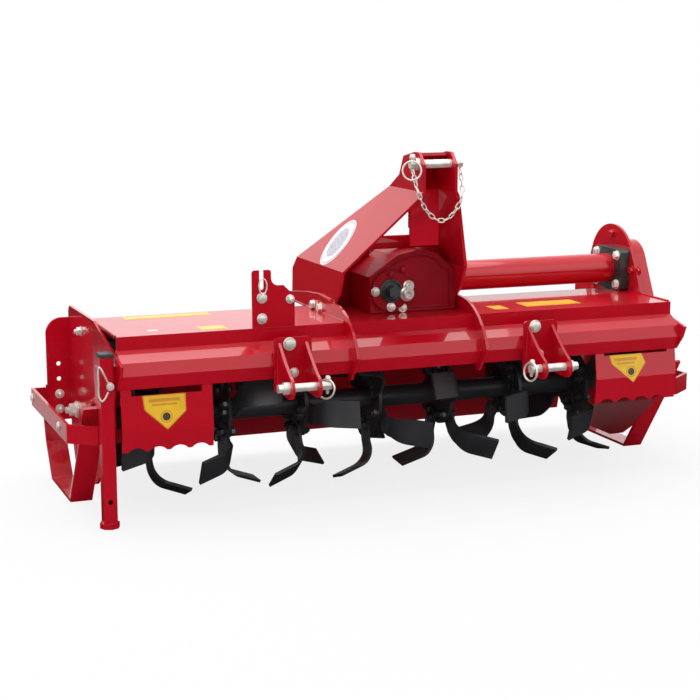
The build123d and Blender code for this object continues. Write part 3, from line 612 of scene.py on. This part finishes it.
# ---------------------------------------------------------------- pins, clips and chain
PEG = [(0, -44), (3.2, -42), (4.6, -38), (4.6, -8), (7.4, -7), (8, -4), (7.4, 3), (5, 6), (0, 6.5)]
LINCH_PINS = [             # piece, peg's top and lean, the ring's middle, facing, radius and wire radius
    ("top_linch_pin", (-66, -356, 940), (0, 0, 1), (-75, -374, 905), (-0.45, -0.85, 0.1), 24, 2.4),
    ("left_linch_pin", (-297, -350, 376), (0, -0.1, 1), (-303, -352, 348), (-0.75, -0.62, 0.2), 25, 2.5),
    ("right_linch_pin", (296, -350, 377), (0, -0.1, 1), (290, -352, 350), (-0.96, -0.27, 0.1), 25, 3.0),
]


def linch_pin(name, top, lean, ring_middle, ring_face, ring_radius, wire_radius):
    """A linch pin: a round peg with a head, and its spring ring."""
    bm = bmesh.new()
    lathe(bm, stand(top, lean), PEG, 16)
    place = stand(ring_middle, ring_face)
    ring = [place @ Vector((u, v, 0)) for u, v in circle(ring_radius, 30)]
    wire(bm, ring, [wire_radius * MM], 8, closed=True)
    piece(name, bm, "zinc")


for row in LINCH_PINS:
    linch_pin(*row)

CHAIN_ROUTE = [            # from the pin's left end, down across the mast and up to its right end
    (-67, -360, 905.8), (-66, -378, 872), (-62, -388, 848), (-46, -389, 812), (-20, -389, 784),
    (4, -389, 776), (27, -389, 785), (50, -389, 812), (61, -389, 840), (65, -376, 870), (67, -360, 905.8)]
LINK_LONG = 22
LINK_WIDE = 13
LINK_R = 1.6
LINK_PITCH = 15.6
LINK_SWAY = 24             # degrees that a link rolls off square, more or less along the chain


def link_shape(bm):
    """One chain link of round wire, drawn in mm along X."""
    bend = LINK_WIDE / 2 - LINK_R
    straight = LINK_LONG / 2 - LINK_R - bend
    turns = [math.radians(angle) for angle in range(-90, 91, 30)]
    line = [(straight + bend * math.cos(turn), bend * math.sin(turn), 0) for turn in turns]
    line += [(-straight - bend * math.cos(turn), -bend * math.sin(turn), 0) for turn in turns]
    wire(bm, line, [LINK_R], 8, closed=True)


def chain():
    """The links along their route, each a quarter turn from the one before."""
    bm = bmesh.new()
    link = template(link_shape)
    line = smooth_line(CHAIN_ROUTE, steps=24)
    lengths = [0.0]
    for near, far in zip(line, line[1:]):
        lengths.append(lengths[-1] + (far - near).length)
    count = int(lengths[-1] / LINK_PITCH)
    for number in range(count):
        reach = (number + 0.5) / count * lengths[-1]
        spot = next(index for index, length in enumerate(lengths) if length >= reach)
        along = (line[min(spot + 2, len(line) - 1)] - line[max(spot - 2, 0)]).normalized()
        lean = along.to_track_quat("X", "Y").to_matrix().to_4x4()
        sway = LINK_SWAY * math.sin(number * 1.7)
        roll = Matrix.Rotation(math.radians(90 * (number % 2) + sway), 4, "X")
        stamp(bm, link, Matrix.Translation(at(*line[spot])) @ lean @ roll @ Matrix.Scale(MM, 4))
    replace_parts(piece("pin_chain_links", bm, "zinc"), "pin_chain")


chain()


REST_CLIP_MIDDLE = (-425, -211, 603)
LEG_CLIP = [(-846, -249, 376), (-856, -250, 400), (-868, -248, 424), (-873, -246, 420), (-873, -246, 385),
            (-873, -246, 352), (-866, -248, 339), (-858, -250, 346), (-850, -251, 362)]
LEG_PIN_HEAD = [(0, 0), (9.4, 0), (10.4, 1), (10.4, 12), (9.2, 14), (3, 14.6), (0, 14.6)]


def clips():
    """The wire clips on the drive shaft's rest and on the parking leg, and the leg pin's head."""
    bm = bmesh.new()
    x, y, z = REST_CLIP_MIDDLE
    oval = [at(x + u, y, z + v) for u, v in circle(11, 24, 20)]
    wire(bm, oval, [1.9 * MM], 8, closed=True)
    piece("rest_clip", bm, "zinc")
    bm = bmesh.new()
    wire(bm, [at(*point) for point in smooth_line(LEG_CLIP)], [2.4 * MM], 8)
    piece("leg_clip", bm, "zinc", "leg")
    bm = bmesh.new()
    lathe(bm, stand((-844, -238, 375), (0, -1, 0)), LEG_PIN_HEAD, 20)
    piece("leg_pin_head", bm, "zinc", "leg")


clips()


# ---------------------------------------------------------------- flap strut
STRUT_LOW = (0, 384.403, 237.724)
STRUT_TOP = (0, 282, 590)
STRUT_AXIS = Vector(STRUT_TOP) - Vector(STRUT_LOW)
SPRING_LOW = 108           # along the strut from its lower pin
SPRING_HIGH = 282
SPRING_R = 14.2
SPRING_WIRE_R = 3.6
SPRING_TURNS = 11
SPRING_TURN_STEPS = 18
DEAD_TURN_RISE = 0.04      # share of the height that is spread evenly; the closed end turns get only that
CUFF = [(8.2, 0), (17, 0), (18, 1), (18, 3), (17, 4), (8.2, 4), (8.2, 0)]
STRUT_NUT_UP = 38


def spring():
    """The coil, with one closed turn at each end."""
    bm = bmesh.new()
    place = stand(STRUT_LOW, STRUT_AXIS)
    height = SPRING_HIGH - SPRING_LOW - 2 * SPRING_WIRE_R
    steps = SPRING_TURNS * SPRING_TURN_STEPS
    line = []
    for step in range(steps + 1):
        share = step / steps
        eased = min(max((share * SPRING_TURNS - 1) / (SPRING_TURNS - 2), 0), 1)
        climb = DEAD_TURN_RISE * share + (1 - DEAD_TURN_RISE) * eased
        rise = SPRING_LOW + SPRING_WIRE_R + height * climb
        angle = math.tau * SPRING_TURNS * share
        line.append(place @ Vector((SPRING_R * math.cos(angle), SPRING_R * math.sin(angle), rise)))
    wire(bm, line, [SPRING_WIRE_R * MM], 10)
    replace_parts(piece("strut_coil", bm, "zinc", "strut"), "strut_spring")


spring()


def strut_ends():
    """The nut above the swivel, the cuff over the spring and the lower pin's split pins."""
    bm = bmesh.new()
    nut = template(hex_nut, 16)
    stamp(bm, nut, stand(STRUT_TOP, STRUT_AXIS) @ Matrix.Translation((0, 0, STRUT_NUT_UP)))
    lathe(bm, stand(STRUT_LOW, STRUT_AXIS) @ Matrix.Translation((0, 0, SPRING_HIGH)), CUFF, 24)
    piece("strut_nut", bm, "zinc", "strut")
    bm = bmesh.new()
    pin = template(split_pin, 12)
    for side in (-1, 1):
        stamp(bm, pin, stand((side * 10, STRUT_LOW[1], STRUT_LOW[2]), (0, 0.3, 1)))
    piece("strut_split_pins", bm, "zinc", "strut")


strut_ends()


# ---------------------------------------------------------------- gearbox and drive details
def prism(bm, outline, place, thickness, rim):
    """A flat outline in mm given thickness along its own Z, with its front rim rounded."""
    first = len(bm.verts)
    face = bm.faces.new([bm.verts.new((u, v, 0)) for u, v in outline])
    raised = bmesh.ops.extrude_face_region(bm, geom=[face], use_keep_orig=True)["geom"]
    top = [vert for vert in raised if isinstance(vert, bmesh.types.BMVert)]
    bmesh.ops.translate(bm, vec=(0, 0, thickness), verts=top)
    bm.verts.ensure_lookup_table()
    faces = {face for vert in bm.verts[first:] for face in vert.link_faces}
    bmesh.ops.recalc_face_normals(bm, faces=list(faces))
    if rim:
        edges = [edge for edge in {e for vert in top for e in vert.link_edges}
                 if all(vert in top for vert in edge.verts)]
        bmesh.ops.bevel(bm, geom=edges, offset=rim, affect="EDGES", segments=2, profile=0.5, material=-1)
    moved(bm, first, place)


def facing_place(point, right, up):
    """Puts a flat outline at a point of the machine, given its own right and up directions."""
    right = Vector(right).normalized()
    up = Vector(up).normalized()
    turned = Matrix((right, up, right.cross(up))).transposed().to_4x4()
    return Matrix.Translation(at(*point)) @ turned @ Matrix.Scale(MM, 4)


GEARBOX_FACE = [           # x, z round the casing's front
    (-80, 497), (-80, 594), (0, 650), (12, 653), (60, 662), (90, 659), (118, 652), (176, 600), (176, 497)]
FACE_SHARE = 0.86          # size of the inner ridge beside the rim
FACE_MIDDLE_Z = 560
SHAFT_X = -22
SHAFT_Z = 556
SEAL = [(33, -1), (33, 4), (31.5, 5.5), (28.4, 5.5), (27, 4), (27, -1), (33, -1)]


def gearbox():
    """The casing's cast rim and inner ridge, and the seal about the shaft."""
    bm = bmesh.new()
    rim = [at(x, CASE_FACE_Y + 2, z) for x, z in GEARBOX_FACE]
    wire(bm, rim, [4.2 * MM], 10, closed=True)
    inner = [at(x * FACE_SHARE + 6, CASE_FACE_Y - 1.5, (z - FACE_MIDDLE_Z) * FACE_SHARE + FACE_MIDDLE_Z)
             for x, z in GEARBOX_FACE]
    wire(bm, inner, [2.4 * MM], 8, closed=True)
    piece("gearbox_rim", bm, "cast_paint")
    bm = bmesh.new()
    lathe(bm, stand((SHAFT_X, CAP_Y, SHAFT_Z), (0, -1, 0)), SEAL, 40)
    piece("seal_ring", bm, "dark_steel")


gearbox()

CASE_ROUNDS = [(115, 560, 66), (45, 400, 73), (0, 235, 68)]      # y, z, radius: the cover spans them
CASE_COVER_T = 5
CASE_BOLTS = [(115, 560, 54, (-25, 20, 65, 110, 155)), (45, 400, 61, (-8, 172)),
              (0, 235, 56, (0, 180, 225, 270, 315))]             # y, z, radius and turns
CASE_PLUGS = ((62, 440), (22, 310))                              # y, z


def gear_case_cover():
    """The raised cover of the gear case, its ring of bolts and its two oil plugs."""
    bm = bmesh.new()
    for height in (0, CASE_COVER_T):
        for y, z, radius in CASE_ROUNDS:
            bmesh.ops.create_circle(bm, segments=48, radius=radius,
                                    matrix=Matrix.Translation((y, z, height)))
    bmesh.ops.convex_hull(bm, input=bm.verts)
    loose = [vert for vert in bm.verts if not vert.link_faces]
    bmesh.ops.delete(bm, geom=loose, context="VERTS")
    loose = [edge for edge in bm.edges if not edge.link_faces]
    bmesh.ops.delete(bm, geom=loose, context="EDGES")
    bmesh.ops.dissolve_limit(bm, angle_limit=0.02, verts=bm.verts, edges=bm.edges)
    rim = [edge for edge in bm.edges if all(vert.co.z > CASE_COVER_T / 2 for vert in edge.verts)]
    bmesh.ops.bevel(bm, geom=rim, offset=1.6, affect="EDGES", segments=2, profile=0.5, material=-1)
    moved(bm, 0, facing_place((CASE_X, 0, 0), (0, 1, 0), (0, 0, 1)))
    piece("gear_case_cover", bm, "red_paint")
    cover_x = CASE_X + CASE_COVER_T
    fasteners("gear_case_bolts", "zinc", "frame", [
        ("hex", 9, "+X", cover_x, y + radius * math.cos(math.radians(turn)),
         z + radius * math.sin(math.radians(turn)))
        for y, z, radius, turns in CASE_BOLTS for turn in turns])
    fasteners("gear_case_plugs", "zinc", "frame", [("plug", 14, "+X", cover_x, y, z) for y, z in CASE_PLUGS])


gear_case_cover()

WEB_HALF = 41
WEB_EDGE = [(-343, 940), (-264, 926), (-242, 886), (-288, 848), (-288, 700),
            (-280, 700), (-280, 844), (-231, 885), (-257, 933), (-342, 948)]       # y, z
BRACE_EDGE = [(-150, 661), (150, 661), (128, 698), (-128, 698)]                  # x, z
BRACE_T = 8
BRACE_Y = -12              # its back face
SIDE_MOUNT = [(-130, 477), (-70, 477), (-70, 598), (-20, 634), (-20, 656), (-100, 640), (-130, 602)]   # x, z
SIDE_MOUNT_T = 6
STEP_Y = 57                # back of the gearbox's left step


def side_mount():
    """The plate beside the gearbox's left step, flush with its back; its foot passes through the hood."""
    bm = bmesh.new()
    prism(bm, SIDE_MOUNT, facing_place((0, STEP_Y, 0), (1, 0, 0), (0, 0, 1)), SIDE_MOUNT_T, 1)
    piece("gearbox_side_mount", bm, "cast_paint")


side_mount()


def mast_plates():
    """The folded plate between the mast's cheeks, and the brace below it."""
    bm = bmesh.new()
    prism(bm, WEB_EDGE, facing_place((-WEB_HALF, 0, 0), (0, 1, 0), (0, 0, 1)), 2 * WEB_HALF, 0)
    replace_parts(piece("mast_web_plate", bm, "red_paint"), "mast_web")
    bm = bmesh.new()
    prism(bm, BRACE_EDGE, facing_place((0, BRACE_Y, 0), (1, 0, 0), (0, 0, 1)), BRACE_T, 1)
    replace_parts(piece("mast_brace_plate", bm, "red_paint"), "mast_brace")


mast_plates()


# ---------------------------------------------------------------- parking leg's cap
LEG_MIDDLE = (-848.5, -220, 0)


def leg_cap():
    """The black plug in the leg's open top."""
    bm = bmesh.new()
    box_of(bm, (-19, -19, 446), (19, 19, 457.5), 2.5)
    moved(bm, 0, Matrix.Translation(at(*LEG_MIDDLE)) @ Matrix.Scale(MM, 4))
    piece("leg_cap", bm, "cap", "leg")


leg_cap()


# ---------------------------------------------------------------- stickers
FILM_T = 0.35              # mm that a sticker stands proud
FILM_SUNK = 0.05           # mm of it in the plate
CORNER_STEPS = 4
PENTAGON_RIGHT = [(599, 354), (605, 330), (675, 272), (718, 327), (705, 354)]
PENTAGON_LEFT = [(-761, 343), (-757, 306), (-698, 252), (-647, 297), (-647, 343)]


def rounded(points, radius=3.0):
    """A closed outline with small rounded corners."""
    line = []
    points = [Vector(point) for point in points]
    for number, corner in enumerate(points):
        start = corner + (points[number - 1] - corner).normalized() * radius
        end = corner + (points[(number + 1) % len(points)] - corner).normalized() * radius
        for step in range(CORNER_STEPS + 1):
            t = step / CORNER_STEPS
            line.append(start * (1 - t) ** 2 + corner * 2 * t * (1 - t) + end * t ** 2)
    return [tuple(point) for point in line]


def oblong(u_low, u_high, v_low, v_high, radius=3.0):
    """A rectangle with rounded corners."""
    return rounded([(u_low, v_low), (u_high, v_low), (u_high, v_high), (u_low, v_high)], radius)


def sticker(name, finish, outline, place, layer=0):
    """A film with the given outline, in the given layer of films."""
    bm = bmesh.new()
    prism(bm, outline, place @ Matrix.Translation((0, 0, layer * FILM_T - FILM_SUNK)), FILM_T, 0)
    piece(name, bm, finish)


HOOD_STICKERS = [          # name, film, x from, x to, y from, y to
    ("hood_sticker_long_left", "yellow_film", -730, -490, 43, 93),
    ("hood_sticker_small_left", "yellow_film", -583, -514, -188, -128),
    ("hood_label", "white_film", -718, -692, -150, -136),
    ("hood_sticker_small_right", "yellow_film", 278, 322, -158, -93),
    ("hood_sticker_long_right", "yellow_film", 387, 562, -142, -67),
]
HOOD_TOP_Z = 493
BAND_EDGE = 6              # from a hood sticker's edge to its band, and the band's own width


def hood_stickers():
    """Blank labels on the hood's top, the yellow ones with a plain band."""
    place = facing_place((0, 0, HOOD_TOP_Z), (1, 0, 0), (0, 1, 0))
    for name, finish, x_low, x_high, y_low, y_high in HOOD_STICKERS:
        sticker(name, finish, oblong(x_low, x_high, y_low, y_high), place)
        if finish == "yellow_film":
            band = oblong(x_low + BAND_EDGE, x_high - BAND_EDGE,
                          y_low + BAND_EDGE, y_low + 2 * BAND_EDGE, 1.5)
            sticker(name + "_band", "orange_film", band, place, 1)


hood_stickers()


DEFLECTOR_T = 4
CREASE_Y = -247            # back of a deflector's plate at its crease
PANEL_TOP = (-236, 365)    # y, z of the same face at the top of its upper panel
BORDER_SHARE = 0.94        # size of the yellow field in its border
BANDS = ((10, 8, 16), (23, 5, 24))       # drop from the top edge, height, inset from the sides
MARK = (("ring", "orange_film", 16, 2), ("light_ring", "yellow_film", 13.5, 3),
        ("dot", "dark_film", 10.5, 4))   # name, film, radius, layer


def deflector_sticker(side, points, dot, crease_z, top_edge_z):
    """A yellow pentagon on a deflector's upper panel, with its bands and its round mark."""
    low = Vector((0, CREASE_Y, crease_z))
    up = (Vector((0, *PANEL_TOP)) - low).normalized()
    low += Vector((0, -up.z, up.y)) * DEFLECTOR_T
    stretch = 1 / up.z
    place = facing_place(low, (1, 0, 0), up)
    face = [(x, (z - crease_z) * stretch) for x, z in points]
    sticker("deflector_border_" + side, "orange_film", rounded(face), place)
    middle = Vector((sum(x for x, z in face) / len(face), sum(z for x, z in face) / len(face)))
    inner = [tuple(middle.lerp(Vector(point), BORDER_SHARE)) for point in face]
    sticker("deflector_sticker_" + side, "yellow_film", rounded(inner), place, 1)
    top = (top_edge_z - crease_z) * stretch
    xs = [x for x, z in points if z >= top_edge_z - 1]
    for number, (drop, height, inset) in enumerate(BANDS):
        band = oblong(min(xs) + inset, max(xs) - inset, top - drop - height, top - drop, 2)
        sticker(f"deflector_band_{side}_{number + 1}", "orange_film", band, place, 2)
    for name, finish, radius, layer in MARK:
        disc = [(dot[0] + u, (dot[1] - crease_z) * stretch + v) for u, v in circle(radius, 32)]
        sticker(f"deflector_{name}_{side}", finish, disc, place, layer)


deflector_sticker("left", PENTAGON_LEFT, (-700, 286), 251, 343)
deflector_sticker("right", PENTAGON_RIGHT, (668, 304), 288, 354)

MAST_FOOT = Vector((-185, 0, 622))
MAST_TOP = Vector((-49, 0, 850))
OVAL_UP = 75               # along the slope from the foot bend
OVAL_Y = -33
OVAL_LONG = 84             # half its length and half its width
OVAL_SHORT = 54
OVAL_LEAN = (0.78, 0.62)   # shares of its length up the slope and forwards
OVAL_FILMS = (("mast_sticker", "white_film", 1.0), ("mast_sticker_ring", "grey_film", 0.93),
              ("mast_sticker_field", "white_film", 0.89),
              ("mast_sticker_marbling", "pastel_film", 0.62))    # name, film, share of the size


def mast_sticker():
    """The blank oval on the mast's left panel."""
    slope = (MAST_TOP - MAST_FOOT).normalized()
    point = MAST_FOOT + slope * OVAL_UP + Vector((0, OVAL_Y, 0))
    along = (slope * OVAL_LEAN[0] - Vector((0, 1, 0)) * OVAL_LEAN[1]).normalized()
    outward = Vector((-slope.z, 0, slope.x))
    place = facing_place(point, along, outward.cross(along))
    for layer, (name, finish, share) in enumerate(OVAL_FILMS):
        sticker(name, finish, circle(OVAL_LONG * share, 48, OVAL_SHORT * share), place, layer)


mast_sticker()


# ---------------------------------------------------------------- floor, light and camera
def ray_kind(tree):
    """What kind of ray meets the surface."""
    return tree.nodes.new("ShaderNodeLightPath").outputs


def blend_of(tree, low, high, socket):
    """A value from low to high as the socket goes from 0 to 1; low and high are numbers or sockets."""
    mix = tree.nodes.new("ShaderNodeMix")
    for name, value in (("A", low), ("B", high)):
        if isinstance(value, (int, float)):
            mix.inputs[name].default_value = value
        else:
            tree.links.new(value, mix.inputs[name])
    tree.links.new(socket, mix.inputs["Factor"])
    return mix.outputs["Result"]


def ramp_of(tree, socket, start, end, low, high):
    """A value that goes from low to high as the socket goes from start to end."""
    span = tree.nodes.new("ShaderNodeMapRange")
    for name, value in (("From Min", start), ("From Max", end), ("To Min", low), ("To Max", high)):
        span.inputs[name].default_value = value
    tree.links.new(socket, span.inputs["Value"])
    return span.outputs["Result"]


WORLD_DIFFUSE = 0.58       # the world's own light
SKY_FRONT = 1.45           # how bright reflections see the sky before the machine and behind it
SKY_BACK = 1.15
FLOOR_FRONT = 0.01         # how bright reflections see the floor: before, close behind and far behind
FLOOR_BACK = 0.45
FLOOR_FAR = 0.02


def white_world():
    """White to the camera, plain light on the machine, and a bright sky in its gloss."""
    world = bpy.data.worlds.new("pale")
    bpy.context.scene.world = world
    world.use_nodes = True
    tree = world.node_tree
    way = tree.nodes.new("ShaderNodeSeparateXYZ")
    tree.links.new(tree.nodes.new("ShaderNodeTexCoord").outputs["Generated"], way.inputs[0])
    sky = ramp_of(tree, way.outputs["Y"], -0.5, 0.5, SKY_FRONT, SKY_BACK)
    ray = ray_kind(tree)
    seen = blend_of(tree, WORLD_DIFFUSE, sky, ray["Is Glossy Ray"])
    strength = blend_of(tree, seen, 1.0, ray["Is Camera Ray"])
    background = tree.nodes["Background"]
    background.inputs["Color"].default_value = (1, 1, 1, 1)
    tree.links.new(strength, background.inputs["Strength"])


FLOOR_SIZE = 60            # metres
SHADOW_REACH = (0.6, 2.0)  # metres from the middle over which the floor fades to white
SHADOW_FADE = 0.82         # how white the floor is near the machine


def floor_gloss(tree, where):
    """How bright reflections see the floor, by how far behind the machine it lies."""
    split = tree.nodes.new("ShaderNodeSeparateXYZ")
    tree.links.new(where, split.inputs[0])
    behind = ramp_of(tree, split.outputs["Y"], 0.2, 0.8, FLOOR_FRONT, FLOOR_BACK)
    far = ramp_of(tree, split.outputs["Y"], 1.6, 2.4, 0.0, 1.0)
    return blend_of(tree, behind, FLOOR_FAR, far)


def floor_white(tree, where):
    """How much of plain white the camera sees, more with the distance from the machine."""
    away = tree.nodes.new("ShaderNodeVectorMath")
    away.operation = "LENGTH"
    tree.links.new(where, away.inputs[0])
    return ramp_of(tree, away.outputs["Value"], *SHADOW_REACH, SHADOW_FADE, 1.0)


def pale_floor():
    """A plain white floor that keeps a soft shadow near the machine."""
    bpy.ops.mesh.primitive_plane_add(size=FLOOR_SIZE, location=(0, 0, 0))
    floor = bpy.context.object
    floor.name = "floor"
    material, tree, body = shader("floor_white", (0.8, 0.8, 0.8), 0.9, specular=0.0)
    where = tree.nodes.new("ShaderNodeTexCoord").outputs["Object"]
    ray = ray_kind(tree)
    white = tree.nodes.new("ShaderNodeEmission")
    strength = blend_of(tree, 1.0, floor_gloss(tree, where), ray["Is Glossy Ray"])
    tree.links.new(strength, white.inputs["Strength"])
    own = blend_of(tree, 0.0, floor_white(tree, where), ray["Is Camera Ray"])
    mix = tree.nodes.new("ShaderNodeMixShader")
    tree.links.new(blend_of(tree, own, 1.0, ray["Is Glossy Ray"]), mix.inputs["Fac"])
    tree.links.new(body.outputs[0], mix.inputs[1])
    tree.links.new(white.outputs[0], mix.inputs[2])
    tree.links.new(mix.outputs[0], tree.nodes["Material Output"].inputs["Surface"])
    floor.data.materials.append(material)


LAMPS = [                  # name, place, target, size, watts
    ("key", (-2.5, -4.0, 4.2), (0, 0, 0.4), 2.5, 42),
    ("fill", (3.5, -3.5, 3.0), (0, 0, 0.4), 3.0, 14),
    ("top", (-0.2, 0.9, 3.3), (-0.2, 0.8, 0.4), 4.0, 118),
]
CAMERA_X = -1.721          # metres
CAMERA_BEFORE = 4.140      # before the rotor's axis
CAMERA_Z = 1.200
CAMERA_TURN = (79.5, 0, -21.4)
LENS = 82.3
SENSOR = 36


def lamp(name, place, target, size, power):
    """A square area lamp aimed at its target."""
    data = bpy.data.lights.new(name, "AREA")
    data.size = size
    data.energy = power
    lamp_object = bpy.data.objects.new(name, data)
    bpy.context.collection.objects.link(lamp_object)
    lamp_object.location = place
    aim = Vector(target) - Vector(place)
    lamp_object.rotation_euler = aim.to_track_quat("-Z", "Y").to_euler()


def camera():
    """The camera, a little above the machine and to its left."""
    data = bpy.data.cameras.new("camera")
    data.sensor_width = SENSOR
    data.lens = LENS
    view = bpy.data.objects.new("camera", data)
    bpy.context.collection.objects.link(view)
    view.location = (CAMERA_X, AXIS_Y - CAMERA_BEFORE, CAMERA_Z)
    view.rotation_euler = [math.radians(angle) for angle in CAMERA_TURN]
    bpy.context.scene.camera = view


white_world()
pale_floor()
for row in LAMPS:
    lamp(*row)
camera()
bpy.context.scene.view_settings.view_transform = "Standard"
